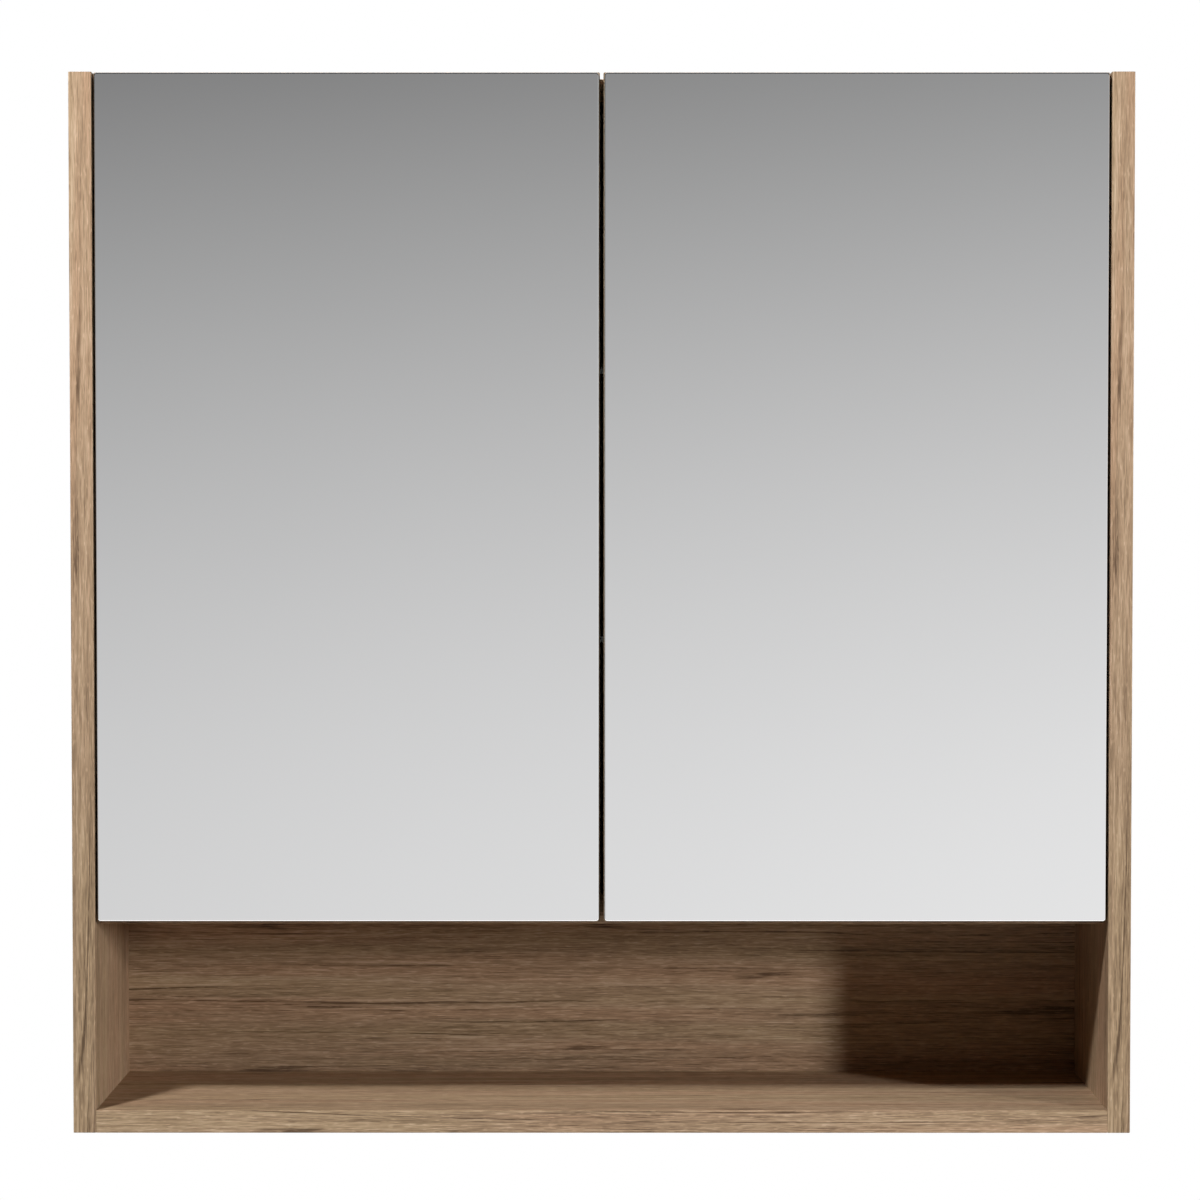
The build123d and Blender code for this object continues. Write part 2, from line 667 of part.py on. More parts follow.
def hinge_plate(sign, z):
    """A mounting plate: wings on the side panel, and a block that the arm sits over."""
    wing = extrude(RectangleRounded(PLATE_WING_W, PLATE_WING_L, PLATE_CORNER_R), PLATE_T)
    for step in (-PLATE_SCREW_SPACING / 2, PLATE_SCREW_SPACING / 2):
        wing -= Pos(0, step, PLATE_T / 2) * Cylinder(PLATE_SCREW_R + HOLE_FIT, 2 * PLATE_T)
    turn = Rot(0, -90, 0) * Rot(0, 0, 90)
    if sign < 0:
        turn = Rot(0, 90, 0) * Rot(0, 0, 90)
    plate = Pos(sign * INNER_HALF_W, SYSTEM_ROW_Y, z) * turn * wing
    half = ARM_INNER_W / 2 - PLATE_SIDE_GAP
    top = INNER_HALF_W - ARM_TAIL_H + ARM_T
    block_x = (sign * INNER_HALF_W, sign * top)
    raised = block(block_x, (ARM_TAIL_Y, ARM_END_Y), (z - half, z + half))
    strip_x = (sign * INNER_HALF_W, sign * (INNER_HALF_W - PLATE_T))
    strip = block(strip_x, (SYSTEM_ROW_Y, ARM_END_Y), (z - ARM_W / 2, z + ARM_W / 2))
    plate += [raised, strip]
    tapped = (sign * (top - HOLE_FIT), sign * (top + ARM_SCREW_L))
    for y in arm_screw_ys():
        plate -= rod_x(ARM_SCREW_R + HOLE_FIT, tapped, y, z)
    return plate


def side_screw(sign, shape, x, y, z):
    """A screw driven into a side panel or plate, its head towards the middle of the cabinet."""
    return Pos(sign * x, y, z) * Rot(0, -90 * sign, 0) * shape


def fixed_hinge_parts(side, sign):
    """The arms, plates and screws of one door's hinges on the side panel."""
    plate_shape = screw(
        PLATE_SCREW_R, PLATE_SCREW_HEAD_R, PLATE_SCREW_HEAD_H, PLATE_SCREW_IN_BOARD + PLATE_T
    )
    arm_shape = screw(ARM_SCREW_R, ARM_SCREW_HEAD_R, ARM_SCREW_HEAD_H, ARM_SCREW_L)
    plate_top = INNER_HALF_W - PLATE_T
    arm_top = INNER_HALF_W - ARM_TAIL_H
    made = {
        f"{side}_hinge_plate_screws": [
            side_screw(sign, plate_shape, plate_top, SYSTEM_ROW_Y, z + step)
            for z in HINGES.values()
            for step in (-PLATE_SCREW_SPACING / 2, PLATE_SCREW_SPACING / 2)
        ],
        f"{side}_hinge_arm_screws": [
            side_screw(sign, arm_shape, arm_top, y, z)
            for z in HINGES.values()
            for y in arm_screw_ys()
        ],
    }
    for name, z in HINGES.items():
        made[f"{side}_{name}_hinge_arm"] = hinge_arm(sign, z)
        made[f"{side}_{name}_hinge_plate"] = hinge_plate(sign, z)
    return made


def build():
    """Every named piece of the cabinet; a group of like pieces is a list."""
    made = carcass()
    for name in SHELVES:
        made[f"{name}_glass_shelf"] = shelf(name)
        made[f"{name}_shelf_pins"] = shelf_pins(name)
    for side, sign in SIDES.items():
        made.update(door(side, sign))
        made.update(hinge_links(side, sign))
        made.update(fixed_hinge_parts(side, sign))
    return made


def main():
    os.makedirs("parts", exist_ok=True)
    for name, shape in build().items():
        solids = shape if isinstance(shape, list) else [shape]
        export_step(Compound(children=solids), os.path.join("parts", f"{name}.step"))


if __name__ == "__main__":
    main()
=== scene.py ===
import math

import bpy
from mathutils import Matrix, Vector


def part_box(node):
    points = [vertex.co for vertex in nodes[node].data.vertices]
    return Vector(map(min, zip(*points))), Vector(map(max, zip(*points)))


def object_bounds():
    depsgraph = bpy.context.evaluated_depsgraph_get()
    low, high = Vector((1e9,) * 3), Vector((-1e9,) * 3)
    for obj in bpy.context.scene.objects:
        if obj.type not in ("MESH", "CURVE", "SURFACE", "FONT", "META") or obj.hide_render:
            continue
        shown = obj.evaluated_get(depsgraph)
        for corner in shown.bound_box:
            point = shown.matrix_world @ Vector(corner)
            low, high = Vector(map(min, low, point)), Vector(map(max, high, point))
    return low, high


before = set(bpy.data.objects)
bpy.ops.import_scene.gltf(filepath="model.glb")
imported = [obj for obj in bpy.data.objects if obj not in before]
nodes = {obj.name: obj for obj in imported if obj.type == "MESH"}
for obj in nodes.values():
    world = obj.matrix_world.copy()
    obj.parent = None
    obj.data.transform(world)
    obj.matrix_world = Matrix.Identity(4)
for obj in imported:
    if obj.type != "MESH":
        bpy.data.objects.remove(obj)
CAD_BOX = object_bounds()

SIDES = ("left", "right")
LEVELS = ("lower", "upper")

# Camera: level with the upper third of the cabinet, looking slightly down
CAMERA_PLACE = (0.0005, -2.1871, 0.0614)
CAMERA_TILT = math.radians(-1.628)
CAMERA_TURN = math.radians(0.047)
CAMERA_LENS = 86.57
SENSOR_W = 36.0

# Colours, linear
OAK_DARK = (0.157, 0.100, 0.063)
OAK_LOW = (0.340, 0.229, 0.144)
OAK_MID = (0.447, 0.304, 0.193)
OAK_HIGH = (0.549, 0.385, 0.252)
OAK_PALE = (0.690, 0.522, 0.366)
TINT_OLIVE = (0.940, 0.960, 0.928)
TINT_EVEN = (0.957, 0.957, 0.957)
TINT_RED = (0.985, 0.940, 0.930)
CHIP_DARK = (0.200, 0.125, 0.070)
CHIP_LIGHT = (0.560, 0.410, 0.260)
FIBRE_DARK = (0.175, 0.108, 0.064)
FIBRE_LIGHT = (0.270, 0.176, 0.108)
MELAMINE = (0.780, 0.780, 0.765)
SILVER = (0.925, 0.926, 0.931)
GROUND_LOW = (0.46, 0.53, 0.50)
GROUND_HIGH = (0.66, 0.72, 0.69)
BACKING = (0.300, 0.330, 0.330)
GLASS_FACE = (0.975, 0.990, 0.982)
GLASS_EDGE = (0.62, 0.80, 0.72)
NICKEL = (0.620, 0.600, 0.570)
ZINC = (0.560, 0.575, 0.600)
TAPE_LOW = (0.60, 0.60, 0.58)
TAPE_HIGH = (0.74, 0.74, 0.72)
RUBBER_LOW = (0.72, 0.73, 0.72)
RUBBER_HIGH = (0.82, 0.83, 0.82)
BEECH_LOW = (0.540, 0.380, 0.240)
BEECH_HIGH = (0.700, 0.530, 0.360)
FLOOR_LOW = (0.48, 0.48, 0.475)
FLOOR_HIGH = (0.52, 0.52, 0.515)
WHITE = (1.0, 1.0, 1.0)

GLASS_IOR = 1.52

# Woodgrain: tone to colour, and hue to tint
OAK_STOPS = ((0.05, OAK_DARK), (0.33, OAK_LOW), (0.50, OAK_MID), (0.67, OAK_HIGH), (0.95, OAK_PALE))
TINT_STOPS = ((0.38, TINT_OLIVE), (0.50, TINT_EVEN), (0.62, TINT_RED))
OAK_SPECULAR = 0.12
OAK_RELIEF = 0.00012

# Woodgrain's layers of noise: scale along and across the grain in 1/m, detail, roughness
GRAIN_LAYERS = {
    "waves": (2.2, 9.0, 1.0, 0.5),
    "bands": (2.0, 85.0, 2.0, 0.6),
    "streaks": (9.0, 620.0, 2.0, 0.6),
    "pores": (60.0, 1250.0, 2.0, 0.7),
    "flecks": (150.0, 1100.0, 0.0, 0.5),
    "hue": (2.2, 60.0, 2.0, 0.55),
    "rings": (0.6, 22.0, 1.0, 0.5),
    "broken": (7.0, 100.0, 2.0, 0.5),
    "wander": (5.0, 20.0, 2.0, 0.5),
    "runs": (11.0, 120.0, 2.0, 0.5),
}
# What each layer adds to the tone, and what a mark's dark line, its light line and a fleck add
TONE_WEIGHTS = {"waves": 0.16, "bands": 0.55, "streaks": 0.70, "pores": 1.25}
MARK_DARK, MARK_LIGHT, FLECK_LIGHT = 0.42, 0.17, 0.18
# Ring marks: the noise step from one to the next, and the level of the broken layer where they start
RING_STEP = 0.085
RING_GAPS, BAND_GAPS = 0.52, 0.44

# The front edge bands are made paler than the boards: painted light that brightens the lit front faces
# beyond what the lamps give
BAND_PAINTED_LIGHT_LEVEL = 1.20
# From the front edge band of one side panel to the other's
BAND_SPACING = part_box("right_side_edge_band")[0][0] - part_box("left_side_edge_band")[0][0]

# Where in the noise each kind of board takes its figure from
UPRIGHT_PLACE = (0.0, 0.0, 0.0)
LEVEL_PLACE = (3.1, 1.7, 0.4)
LEVEL_BAND_PLACE = (7.7, 3.3, 1.9)
NICHE_PLACE = (5.3, 0.9, 2.4)
DEEP_PLACE = (1.3, 5.2, 2.9)

# Long growth lines on the niche's back: each one's height, and the level of the runs where it starts
GROWTH_LINES = ((-0.2535, 0.47), (-0.3055, 0.45), (-0.3105, 0.60))
GROWTH_WANDER = 0.0020
GROWTH_DARK_REACH, GROWTH_LIGHT_REACH = 0.0011, 0.0022
GROWTH_LIGHT_RISE = 0.0018

# Darker stretch of the side panels: heights of its top, of its full strength and of its end
STRETCH_TOP, STRETCH_FULL, STRETCH_LOW, STRETCH_END = -0.17, -0.26, -0.30, -0.335
STRETCH_DARK = 0.08

# Fine rounds of the arrises
WELD_REACH = 0.000005
SIDE_ARRIS, DOOR_ARRIS, LEVEL_ARRIS = 0.0004, 0.0003, 0.00048
ARRIS_ANGLE = math.radians(40.0)

# Room: the little light that comes from all round, and what mirrors, metal and glass see of it,
# a pale floor that fades into a dark ceiling and is brighter to the right, with white behind
AMBIENT = 0.008
HORIZON_LOW, HORIZON_HIGH = -0.18, 0.40
ROOM_LOW, ROOM_HIGH = 0.779, -0.0505
SLOPE_LOW, SLOPE_HIGH = 0.4346, 0.1222
ROOM_DARKEST, ROOM_PALEST = 0.03, 0.88
BEHIND_START, BEHIND_FULL = 0.2, 0.6

FLOOR_Z = -1.40
FLOOR_HALF = 3.5
FLOOR_GLOW = 0.90


def new_material(name):
    """A material with its node tree, its principled shader and its object coordinates."""
    material = bpy.data.materials.new(name)
    material.use_nodes = True
    tree = material.node_tree
    shader = tree.nodes["Principled BSDF"]
    coords = tree.nodes.new("ShaderNodeTexCoord").outputs["Object"]
    return material, tree, shader, coords


def scaled(colour, factor):
    return tuple(channel * factor for channel in colour)


def mapped(tree, coords, scale, shift=(0.0, 0.0, 0.0)):
    """The coordinates scaled along all axes or along each one, so that a noise gets its grain size."""
    node = tree.nodes.new("ShaderNodeMapping")
    node.inputs["Scale"].default_value = scale if isinstance(scale, tuple) else (scale,) * 3
    node.inputs["Location"].default_value = shift
    tree.links.new(coords, node.inputs["Vector"])
    return node.outputs["Vector"]


def noise(tree, coords, scale, detail=2.0, roughness=0.5, shift=(0.0, 0.0, 0.0)):
    node = tree.nodes.new("ShaderNodeTexNoise")
    node.inputs["Scale"].default_value = 1.0
    node.inputs["Detail"].default_value = detail
    node.inputs["Roughness"].default_value = roughness
    tree.links.new(mapped(tree, coords, scale, shift), node.inputs["Vector"])
    return node.outputs["Fac"]


def spread(tree, value, from_low, from_high, to_low=0.0, to_high=1.0, smooth=False):
    """The value's range stretched over another one."""
    node = tree.nodes.new("ShaderNodeMapRange")
    if smooth:
        node.interpolation_type = "SMOOTHSTEP"
    numbers = {"From Min": from_low, "From Max": from_high, "To Min": to_low, "To Max": to_high}
    for socket, number in numbers.items():
        node.inputs[socket].default_value = number
    tree.links.new(value, node.inputs["Value"])
    return node.outputs["Result"]


def math_node(tree, operation, *values):
    node = tree.nodes.new("ShaderNodeMath")
    node.operation = operation
    for socket, value in zip(node.inputs, values):
        if isinstance(value, float):
            socket.default_value = value
        else:
            tree.links.new(value, socket)
    return node.outputs["Value"]


def weighted(tree, base, parts):
    """The base plus each value's departure from one half times its weight."""
    total = base
    for value, weight in parts:
        part = math_node(tree, "MULTIPLY", math_node(tree, "SUBTRACT", value, 0.5), weight)
        total = math_node(tree, "ADD", total, part)
    return total


def near(tree, value, centre, reach):
    """One where the value is at the centre, falling to nothing at the reach."""
    gap = math_node(tree, "ABSOLUTE", math_node(tree, "SUBTRACT", value, centre))
    return spread(tree, gap, 0.0, reach, 1.0, 0.0, smooth=True)


def axes(tree, vector):
    """The three coordinates of a vector, as a dictionary by axis."""
    node = tree.nodes.new("ShaderNodeSeparateXYZ")
    tree.links.new(vector, node.inputs["Vector"])
    return {axis: node.outputs[axis] for axis in "XYZ"}


def ramp(tree, value, stops):
    node = tree.nodes.new("ShaderNodeValToRGB")
    elements = node.color_ramp.elements
    while len(elements) < len(stops):
        elements.new(0.5)
    for element, (position, colour) in zip(elements, stops):
        element.position = position
        element.color = (*colour, 1.0)
    tree.links.new(value, node.inputs["Fac"])
    return node.outputs["Color"]


def mix(tree, factor, a, b, blend="MIX"):
    node = tree.nodes.new("ShaderNodeMix")
    node.data_type = "RGBA"
    node.blend_type = blend
    for name, value in (("Factor", factor), ("A", a), ("B", b)):
        socket = node.inputs[name]
        if isinstance(value, float):
            socket.default_value = value
        elif isinstance(value, tuple):
            socket.default_value = (*value, 1.0)
        else:
            tree.links.new(value, socket)
    return node.outputs["Result"]


def colour_between(tree, shader, tone, dark, light, low=0.30, high=0.70):
    """The base colour: dark up to the tone's low value, light from its high value on."""
    tree.links.new(ramp(tree, tone, ((low, dark), (high, light))), shader.inputs["Base Color"])


def roughness_between(tree, shader, marks, at_low, at_high):
    """The roughness: it goes from one value to the other as the marks rise."""
    tree.links.new(spread(tree, marks, 0.30, 0.70, at_low, at_high), shader.inputs["Roughness"])


def bump(tree, shader, height, distance):
    node = tree.nodes.new("ShaderNodeBump")
    node.inputs["Distance"].default_value = distance
    tree.links.new(height, node.inputs["Height"])
    tree.links.new(node.outputs["Normal"], shader.inputs["Normal"])


def ring_marks(tree, rings, broken, gaps):
    """The dark lines and the light lines along the contours of a slow noise, and where they show."""
    contour = math_node(tree, "FRACT", math_node(tree, "DIVIDE", rings, RING_STEP))
    shown = spread(tree, broken, gaps, gaps + 0.12, smooth=True)
    return near(tree, contour, 0.50, 0.085), near(tree, contour, 0.66, 0.11), shown


def growth_marks(tree, z, wander, runs, lines):
    """Each long growth line's dark line, the light line above it, and where they show."""
    drift = spread(tree, wander, 0.30, 0.70, -GROWTH_WANDER, GROWTH_WANDER)
    place = math_node(tree, "ADD", z, drift)
    marks = []
    for line, start in lines:
        dark = near(tree, place, line, GROWTH_DARK_REACH)
        light = near(tree, place, line + GROWTH_LIGHT_RISE, GROWTH_LIGHT_REACH)
        marks.append((dark, light, spread(tree, runs, start - 0.05, start + 0.05, smooth=True)))
    return marks


def stretch_darkness(tree, z):
    """How much the darker stretch takes off the tone at each height."""
    above = spread(tree, z, STRETCH_TOP, STRETCH_FULL, smooth=True)
    below = spread(tree, z, STRETCH_END, STRETCH_LOW, smooth=True)
    return math_node(tree, "MULTIPLY", math_node(tree, "MULTIPLY", above, below), STRETCH_DARK)


def woodgrain(name, axis, place, level=1.0, move_x=0.0, gaps=RING_GAPS, growth_lines=(), stretch=False):
    """Oak decor whose grain runs along one axis: tone bands, streaks, pores, flecks and dark marks.

    The place is where its figure lies in the noise, the level makes it paler, move_x slides the
    figure sideways, in metres, and lower gaps give more ring marks.
    """
    material, tree, shader, coords = new_material(name)

    def layer(kind):
        along, across, detail, roughness = GRAIN_LAYERS[kind]
        scale = tuple(along if each == axis else across for each in "XYZ")
        shift = (place[0] + move_x * scale[0], place[1], place[2])
        return noise(tree, coords, scale, detail, roughness, shift)

    layers = {kind: layer(kind) for kind in TONE_WEIGHTS}
    tone = weighted(tree, 0.5, [(layers[kind], weight) for kind, weight in TONE_WEIGHTS.items()])
    tone = math_node(tree, "ADD", tone, spread(tree, layer("flecks"), 0.64, 0.74, 0.0, FLECK_LIGHT))
    z = axes(tree, coords)["Z"]
    marks = [ring_marks(tree, layer("rings"), layer("broken"), gaps)]
    if growth_lines:
        marks += growth_marks(tree, z, layer("wander"), layer("runs"), growth_lines)
    for dark, light, shown in marks:
        light = math_node(tree, "MULTIPLY", math_node(tree, "MULTIPLY", light, shown), MARK_LIGHT)
        dark = math_node(tree, "MULTIPLY", math_node(tree, "MULTIPLY", dark, shown), MARK_DARK)
        tone = math_node(tree, "SUBTRACT", math_node(tree, "ADD", tone, light), dark)
    if stretch:
        tone = math_node(tree, "SUBTRACT", tone, stretch_darkness(tree, z))

    colour = ramp(tree, tone, [(stop, scaled(shade, level)) for stop, shade in OAK_STOPS])
    colour = mix(tree, 1.0, colour, ramp(tree, layer("hue"), TINT_STOPS), "MULTIPLY")
    tree.links.new(colour, shader.inputs["Base Color"])
    roughness_between(tree, shader, layers["streaks"], 0.60, 0.46)
    shader.inputs["Specular IOR Level"].default_value = OAK_SPECULAR
    bump(tree, shader, weighted(tree, layers["streaks"], ((layers["pores"], 0.6),)), OAK_RELIEF)
    return material


def chipboard(name):
    """Raw particle board: pale and dark flakes pressed flat."""
    material, tree, shader, coords = new_material(name)
    flakes = tree.nodes.new("ShaderNodeTexVoronoi")
    flakes.inputs["Scale"].default_value = 1.0
    tree.links.new(mapped(tree, coords, (700.0, 700.0, 420.0)), flakes.inputs["Vector"])
    flake = tree.nodes.new("ShaderNodeSeparateColor")
    tree.links.new(flakes.outputs["Color"], flake.inputs["Color"])
    shade = noise(tree, coords, 900.0, detail=3.0)
    tone = weighted(tree, 0.5, ((flake.outputs["Red"], 0.6), (shade, 0.4)))
    colour_between(tree, shader, tone, CHIP_DARK, CHIP_LIGHT, 0.15, 0.85)
    roughness_between(tree, shader, shade, 0.95, 0.80)
    bump(tree, shader, tone, 0.0003)
    return material


def fibreboard(name):
    """The raw brown rear of a thin fibre board."""
    material, tree, shader, coords = new_material(name)
    cloud = noise(tree, coords, 30.0, detail=4.0)
    fibre = noise(tree, coords, (900.0, 900.0, 1400.0), detail=3.0, roughness=0.7)
    tone = weighted(tree, 0.5, ((cloud, 0.45), (fibre, 0.55)))
    colour_between(tree, shader, tone, FIBRE_DARK, FIBRE_LIGHT, 0.32, 0.68)
    roughness_between(tree, shader, fibre, 0.85, 0.70)
    bump(tree, shader, fibre, 0.00015)
    return material


def melamine(name):
    """White board face with the fine pearl texture of pressed melamine."""
    material, tree, shader, coords = new_material(name)
    pearl = noise(tree, coords, 1500.0)
    cloud = noise(tree, coords, 12.0)
    colour_between(tree, shader, cloud, scaled(MELAMINE, 0.955), MELAMINE, 0.35, 0.65)
    roughness_between(tree, shader, pearl, 0.42, 0.32)
    bump(tree, shader, pearl, 0.00005)
    return material


def mirror_silver(name):
    """Silvered float glass seen from the front: a near perfect reflector with a faint haze."""
    material, tree, shader, coords = new_material(name)
    haze = noise(tree, coords, 6.0, detail=3.0)
    shader.inputs["Metallic"].default_value = 1.0
    colour_between(tree, shader, haze, scaled(SILVER, 0.992), SILVER)
    roughness_between(tree, shader, haze, 0.012, 0.028)
    return material


def ground_edge(name):
    """The ground and polished edge of the mirror glass, grey green."""
    material, tree, shader, coords = new_material(name)
    grind = noise(tree, coords, (2600.0, 500.0, 2600.0))
    shader.inputs["IOR"].default_value = GLASS_IOR
    colour_between(tree, shader, grind, GROUND_LOW, GROUND_HIGH)
    roughness_between(tree, shader, grind, 0.16, 0.30)
    return material


def backing_paint(name):
    """The grey paint behind the silver, with faint roller marks."""
    material, tree, shader, coords = new_material(name)
    roll = noise(tree, coords, (600.0, 600.0, 40.0), detail=3.0)
    colour_between(tree, shader, roll, BACKING, scaled(BACKING, 1.12), 0.35, 0.65)
    roughness_between(tree, shader, roll, 0.55, 0.42)
    bump(tree, shader, roll, 0.00004)
    return material


def clear_glass(name, tint, roughness):
    """Float glass that lets lamp light through its shadow."""
    material, tree, shader, coords = new_material(name)
    smear = noise(tree, coords, 40.0, detail=3.0)
    pale = tuple(min(1.0, channel) for channel in scaled(tint, 1.01))
    shader.inputs["Transmission Weight"].default_value = 1.0
    shader.inputs["IOR"].default_value = GLASS_IOR
    colour_between(tree, shader, smear, tint, pale)
    roughness_between(tree, shader, smear, roughness, roughness + 0.015)
    path = tree.nodes.new("ShaderNodeLightPath")
    through = tree.nodes.new("ShaderNodeBsdfTransparent")
    through.inputs["Color"].default_value = (*tint, 1.0)
    blend = tree.nodes.new("ShaderNodeMixShader")
    tree.links.new(path.outputs["Is Shadow Ray"], blend.inputs["Fac"])
    tree.links.new(shader.outputs["BSDF"], blend.inputs[1])
    tree.links.new(through.outputs["BSDF"], blend.inputs[2])
    tree.links.new(blend.outputs["Shader"], tree.nodes["Material Output"].inputs["Surface"])
    return material


def plated(name, colour, low, high, brush):
    """Plated steel: metal whose polish and tone vary a little, with fine rolling marks."""
    material, tree, shader, coords = new_material(name)
    marks = noise(tree, coords, brush, detail=3.0, roughness=0.6)
    cloud = noise(tree, coords, 180.0)
    shader.inputs["Metallic"].default_value = 1.0
    colour_between(tree, shader, cloud, scaled(colour, 0.86), colour)
    roughness_between(tree, shader, marks, low, high)
    bump(tree, shader, marks, 0.00002)
    return material


def speckled(name, low, high, scale, roughness, relief, transmission=0.0):
    """A plain moulded or foamed surface: two near tones in a fine grain."""
    material, tree, shader, coords = new_material(name)
    grain = noise(tree, coords, scale, detail=3.0, roughness=0.6)
    shader.inputs["Transmission Weight"].default_value = transmission
    colour_between(tree, shader, grain, low, high, 0.35, 0.65)
    roughness_between(tree, shader, grain, roughness + 0.08, roughness - 0.08)
    bump(tree, shader, grain, relief)
    return material


def beech(name):
    """Fluted beech dowels: straight pale grain across the cabinet."""
    material, tree, shader, coords = new_material(name)
    grain = noise(tree, coords, (60.0, 1500.0, 1500.0), detail=3.0)
    colour_between(tree, shader, grain, BEECH_LOW, BEECH_HIGH)
    roughness_between(tree, shader, grain, 0.75, 0.60)
    bump(tree, shader, grain, 0.0001)
    return material


MATERIALS = {
    "upright": woodgrain("woodgrain_upright", "Z", UPRIGHT_PLACE, stretch=True),
    # The front edge bands' woodgrain is made paler: painted light on the lit front faces
    "left_band": woodgrain(
        "woodgrain_left_band", "Z", UPRIGHT_PLACE, BAND_PAINTED_LIGHT_LEVEL, BAND_SPACING, BAND_GAPS, stretch=True
    ),
    "right_band": woodgrain(
        "woodgrain_right_band", "Z", UPRIGHT_PLACE, BAND_PAINTED_LIGHT_LEVEL, gaps=BAND_GAPS, stretch=True
    ),
    "level_band": woodgrain("woodgrain_level_band", "X", LEVEL_BAND_PLACE, BAND_PAINTED_LIGHT_LEVEL, gaps=BAND_GAPS),
    "level": woodgrain("woodgrain_level", "X", LEVEL_PLACE),
    "niche": woodgrain("woodgrain_niche", "X", NICHE_PLACE, growth_lines=GROWTH_LINES),
    "deep": woodgrain("woodgrain_deep", "Y", DEEP_PLACE),
    "chip": chipboard("board_core"),
    "fibre": fibreboard("fibreboard_rear"),
    "white": melamine("white_melamine"),
    "mirror": mirror_silver("mirror_silver"),
    "glass_edge": ground_edge("mirror_ground_edge"),
    "backing": backing_paint("mirror_backing"),
    "shelf": clear_glass("shelf_glass_face", GLASS_FACE, 0.0),
    "shelf_edge": clear_glass("shelf_glass_edge", GLASS_EDGE, 0.12),
    "nickel": plated("hinge_nickel", NICKEL, 0.20, 0.32, (300.0, 2500.0, 300.0)),
    "zinc": plated("screw_zinc", ZINC, 0.28, 0.42, 1500.0),
    "pin": plated("pin_nickel", NICKEL, 0.24, 0.36, 1200.0),
    "tape": speckled("foam_tape", TAPE_LOW, TAPE_HIGH, 2200.0, 0.85, 0.00008),
    "bumper": speckled("clear_rubber", RUBBER_LOW, RUBBER_HIGH, 900.0, 0.28, 0.00002, transmission=0.55),
    "dowel": beech("dowel_beech"),
}

# How far a face's normal must point up or down, to the rear or front, or to the mirror's front
UP, REAR, RIM = 0.9, 0.9, 0.05


def side_face(normal):
    """Grain up the faces, along the ends, raw core at the wall edge."""
    if normal.y > REAR:
        return 2
    return 1 if abs(normal.z) > UP else 0


def rear_face(normal):
    """The second material on the rear: a panel's raw core, or a door's white inside."""
    return 1 if normal.y > REAR else 0


def middle_face(normal):
    """Raw core at the wall edge, and white for the cupboard's floor."""
    if normal.y > REAR:
        return 1
    return 2 if normal.z > UP else 0


def top_face(normal):
    """Raw core at the wall edge, and white for the cupboard's ceiling."""
    if normal.y > REAR:
        return 1
    return 2 if normal.z < -UP else 0


def back_face(normal):
    """Finished towards the room, raw fibre on the rear and the edges."""
    return 0 if normal.y < -REAR else 1


def shelf_face(normal):
    """Clear glass above and below, green at the edges."""
    return 0 if abs(normal.z) > UP else 1


def mirror_face(normal):
    """Silver in front, ground edge all round, paint behind."""
    if normal.y < -RIM:
        return 0
    return 2 if normal.y > REAR else 1


def paint(node_name, *materials, chooser=None):
    """Gives a node its materials, and each face the one that the chooser picks by its normal."""
    mesh = nodes[node_name].data
    mesh.materials.clear()
    for material in materials:
        mesh.materials.append(MATERIALS[material])
    for face in mesh.polygons:
        face.material_index = chooser(face.normal) if chooser else 0


def dress_carcass():
    for side in SIDES:
        paint(f"{side}_side_panel", "upright", "deep", "chip", chooser=side_face)
        paint(f"{side}_side_edge_band", f"{side}_band")
    paint("bottom_panel", "level", "chip", chooser=rear_face)
    paint("middle_panel", "level", "chip", "white", chooser=middle_face)
    paint("top_panel", "level", "chip", "white", chooser=top_face)
    for panel in ("bottom", "middle", "top"):
        paint(f"{panel}_edge_band", "level_band")
    paint("niche_back_panel", "niche", "fibre", chooser=back_face)
    paint("cabinet_back_panel", "white", "fibre", chooser=back_face)
    for joint in ("top", "middle", "bottom", "rail"):
        paint(f"{joint}_dowels", "dowel")
    paint("back_panel_screws", "zinc")


def dress_inside():
    for level in LEVELS:
        paint(f"{level}_hanging_rail", "white")
        paint(f"{level}_shelf_pins", "pin")
        paint(f"{level}_glass_shelf", "shelf", "shelf_edge", chooser=shelf_face)


def dress_door(side):
    paint(f"{side}_door_board", "upright", "white", chooser=rear_face)
    paint(f"{side}_door_edge_bands", "upright")
    paint(f"{side}_door_mirror", "mirror", "glass_edge", "backing", chooser=mirror_face)
    paint(f"{side}_door_tapes", "tape")
    paint(f"{side}_door_bumpers", "bumper")
    paint(f"{side}_door_cup_screws", "zinc")


def dress_hinges(side):
    for screws in ("arm_screws", "plate_screws"):
        paint(f"{side}_hinge_{screws}", "zinc")
    for links in ("inner_links", "outer_links", "link_pins"):
        paint(f"{side}_hinge_{links}", "nickel")
    for level in LEVELS:
        for piece in ("arm", "cup", "plate"):
            paint(f"{side}_{level}_hinge_{piece}", "nickel")


def round_arrises(node_name, width):
    """Breaks the sharp arrises of a node with a fine round, as sanding leaves them."""
    piece = nodes[node_name]
    weld = piece.modifiers.new("weld", "WELD")
    weld.merge_threshold = WELD_REACH
    bevel = piece.modifiers.new("arris", "BEVEL")
    bevel.width = width
    bevel.segments = 2
    bevel.limit_method = "ANGLE"
    bevel.angle_limit = ARRIS_ANGLE
    bevel.harden_normals = True


def round_bands():
    for side in SIDES:
        round_arrises(f"{side}_side_edge_band", SIDE_ARRIS)
        round_arrises(f"{side}_door_edge_bands", DOOR_ARRIS)
    for panel in ("bottom", "middle", "top"):
        round_arrises(f"{panel}_edge_band", LEVEL_ARRIS)


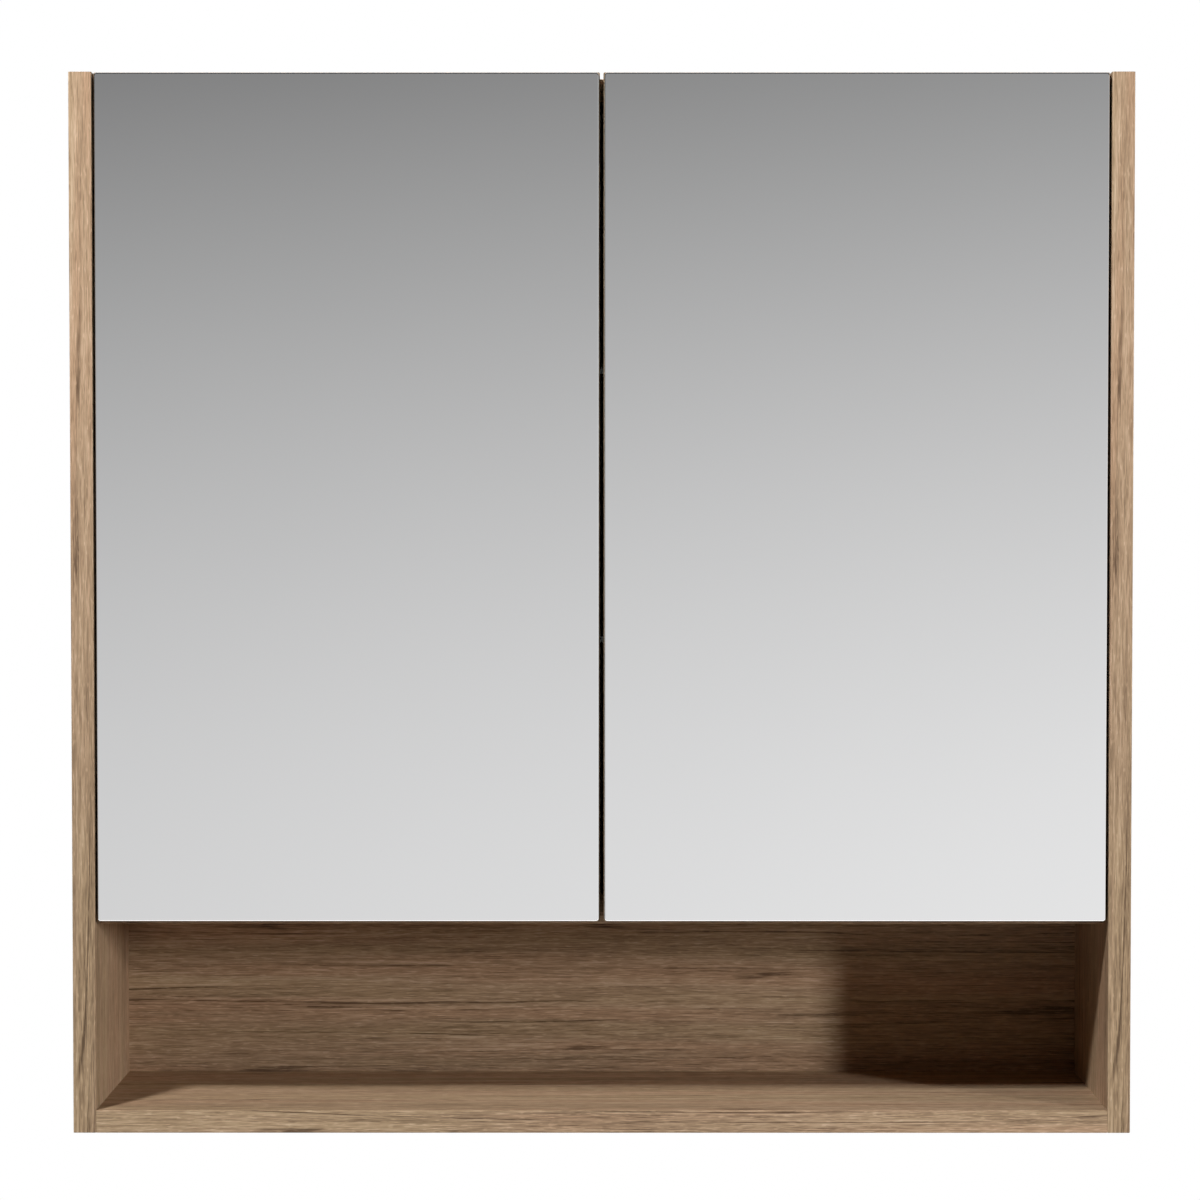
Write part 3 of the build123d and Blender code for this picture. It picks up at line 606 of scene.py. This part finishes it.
def build_world():
    """White to the camera, the room to shiny surfaces, and a little even light to all others."""
    world = bpy.data.worlds.new("studio")
    bpy.context.scene.world = world
    world.use_nodes = True
    tree = world.node_tree
    background = tree.nodes["Background"]
    way = axes(tree, tree.nodes.new("ShaderNodeTexCoord").outputs["Generated"])
    room = spread(tree, way["Z"], HORIZON_LOW, HORIZON_HIGH, ROOM_LOW, ROOM_HIGH, smooth=True)
    slope = spread(tree, way["Z"], HORIZON_LOW, HORIZON_HIGH, SLOPE_LOW, SLOPE_HIGH, smooth=True)
    room = math_node(tree, "ADD", room, math_node(tree, "MULTIPLY", way["X"], slope))
    room = math_node(tree, "MAXIMUM", room, ROOM_DARKEST)
    room = math_node(tree, "MINIMUM", room, ROOM_PALEST)
    behind = spread(tree, way["Y"], BEHIND_START, BEHIND_FULL, smooth=True)
    seen = mix(tree, behind, room, WHITE)
    path = tree.nodes.new("ShaderNodeLightPath").outputs
    shiny = math_node(tree, "MAXIMUM", path["Is Glossy Ray"], path["Is Transmission Ray"])
    colour = mix(tree, shiny, (AMBIENT,) * 3, seen)
    colour = mix(tree, path["Is Camera Ray"], colour, WHITE)
    tree.links.new(colour, background.inputs["Color"])
    background.inputs["Strength"].default_value = 1.0


def direction(azimuth, rise):
    """The way from the cabinet to a lamp, in degrees from straight in front to the right, and up."""
    azimuth, rise = math.radians(azimuth), math.radians(rise)
    return math.sin(azimuth) * math.cos(rise), -math.cos(azimuth) * math.cos(rise), math.sin(rise)


def add_lamp(name, aim, toward_lamp, distance, size, level):
    """An oval lamp that faces the aim point, where a level of 1 shows a surface in its own colour."""
    data = bpy.data.lights.new(name, "AREA")
    data.shape = "ELLIPSE"
    data.size, data.size_y = size
    data.energy = level * math.pi ** 2 * distance ** 2
    lamp = bpy.data.objects.new(name, data)
    bpy.context.scene.collection.objects.link(lamp)
    way = Vector(toward_lamp).normalized()
    lamp.location = Vector(aim) + way * distance
    lamp.rotation_euler = way.to_track_quat("Z", "Y").to_euler()
    lamp.visible_glossy = False


def niche_corner(side):
    """The front lower corner of the niche at one side panel's inner face."""
    low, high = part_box(f"{side}_side_panel")
    x = high[0] if side == "left" else low[0]
    return x, CAD_BOX[0][1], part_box("bottom_panel")[1][2]


def build_lights():
    """The key from the upper left and a low one from the right draw the shadows inside the niche."""
    add_lamp(
        "key_lamp", niche_corner("left"), (-0.63, -1.0, 1.67),
        distance=2.6, size=(0.30, 0.30), level=0.72,
    )
    add_lamp(
        "side_lamp", niche_corner("right"), direction(52.2, 13.5),
        distance=3.2, size=(0.28, 0.74), level=0.62,
    )
    add_lamp(
        "top_lamp", (0.2, -0.15, 0.35), direction(45.0, 48.0),
        distance=1.5, size=(0.80, 0.80), level=0.05,
    )
    add_lamp(
        "rear_lamp", (0.0, 0.0, 0.0), (0.3, 2.0, 0.9),
        distance=2.2, size=(1.20, 1.20), level=0.55,
    )


def build_floor():
    """A pale sheet that glows to the camera and to shiny surfaces, and keeps the cabinet's shadow."""
    mesh = bpy.data.meshes.new("floor")
    corners = [(x * FLOOR_HALF, y * FLOOR_HALF, FLOOR_Z) for x, y in ((-1, -1), (1, -1), (1, 1), (-1, 1))]
    mesh.from_pydata(corners, [], [(0, 1, 2, 3)])
    floor = bpy.data.objects.new("floor", mesh)
    bpy.context.scene.collection.objects.link(floor)
    material, tree, shader, coords = new_material("pale_floor")
    cloud = noise(tree, coords, 3.0, detail=4.0)
    colour_between(tree, shader, cloud, FLOOR_LOW, FLOOR_HIGH)
    shader.inputs["Roughness"].default_value = 0.6
    shader.inputs["Emission Color"].default_value = (*WHITE, 1.0)
    path = tree.nodes.new("ShaderNodeLightPath").outputs
    seen = math_node(tree, "MAXIMUM", path["Is Camera Ray"], path["Is Glossy Ray"])
    seen = math_node(tree, "MAXIMUM", seen, path["Is Transmission Ray"])
    glow = math_node(tree, "MULTIPLY", seen, FLOOR_GLOW)
    tree.links.new(glow, shader.inputs["Emission Strength"])
    mesh.materials.append(material)


def build_camera():
    data = bpy.data.cameras.new("camera")
    data.sensor_width = SENSOR_W
    data.lens = CAMERA_LENS
    camera = bpy.data.objects.new("camera", data)
    bpy.context.scene.collection.objects.link(camera)
    camera.location = CAMERA_PLACE
    camera.rotation_euler = (math.radians(90.0) + CAMERA_TILT, 0.0, CAMERA_TURN)
    bpy.context.scene.camera = camera


dress_carcass()
dress_inside()
for side in SIDES:
    dress_door(side)
    dress_hinges(side)
round_bands()
build_world()
build_lights()
build_floor()
build_camera()
bpy.context.scene.view_settings.view_transform = "Standard"
